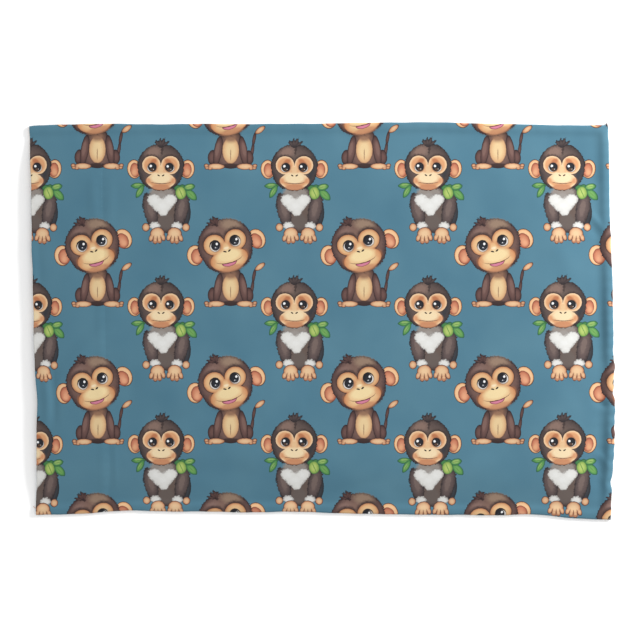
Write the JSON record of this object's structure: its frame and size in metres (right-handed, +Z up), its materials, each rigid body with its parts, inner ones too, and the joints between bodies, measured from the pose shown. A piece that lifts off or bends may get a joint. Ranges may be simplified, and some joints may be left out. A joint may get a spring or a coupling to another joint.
{
  "type": "pillowcase",
  "caption": "Printed cotton-blend pillowcase laid out flat and empty, sewn on three sides, with a deep hem turned in at its open end, which lifts to let a pillow in.",
  "frame": {"origin": "centre of the case's box on the surface that it lies on", "axes": "+X along the case from the open mouth to the closed end, +Y across it to the upper side seam, +Z up from the surface"},
  "size_m": [0.7666, 0.521, 0.0093],
  "materials": {
    "printed_cloth": "matt plain weave, printed",
    "cloth_reverse": "matt plain weave, unprinted side",
    "sewing_thread": "twisted polyester thread",
    "overlock_thread": "loose textured thread",
    "label_satin": "satin ribbon, blank",
    "tan_thread": "twisted polyester thread"
  },
  "bodies": {
    "case": {"back_panel": "printed_cloth", "front_panel": "printed_cloth", "back_hem_facing": "printed_cloth", "back_hem_stitch": "sewing_thread", "top_seam_allowance": "cloth_reverse", "bottom_seam_allowance": "cloth_reverse", "end_seam_allowance": "cloth_reverse", "top_seam_stitch": "sewing_thread", "bottom_seam_stitch": "sewing_thread", "end_seam_stitch": "sewing_thread", "top_overlock": "overlock_thread", "bottom_overlock": "overlock_thread", "end_overlock": "overlock_thread", "top_mouth_tack": "sewing_thread", "bottom_mouth_tack": "sewing_thread", "care_label": "label_satin", "mouth_thread_tail": "tan_thread"},
    "mouth": {"front_hem_band": "printed_cloth", "front_hem_facing": "printed_cloth", "front_hem_stitch": "sewing_thread"}
  },
  "joints": [
    {"name": "mouth_lift", "type": "hinge", "parent": "case", "child": "mouth", "pos_m": [-0.28245, 0, 0.0092], "axis": [-0.0164, 0.9999, 0], "range_deg": [0, 35]}
  ]
}
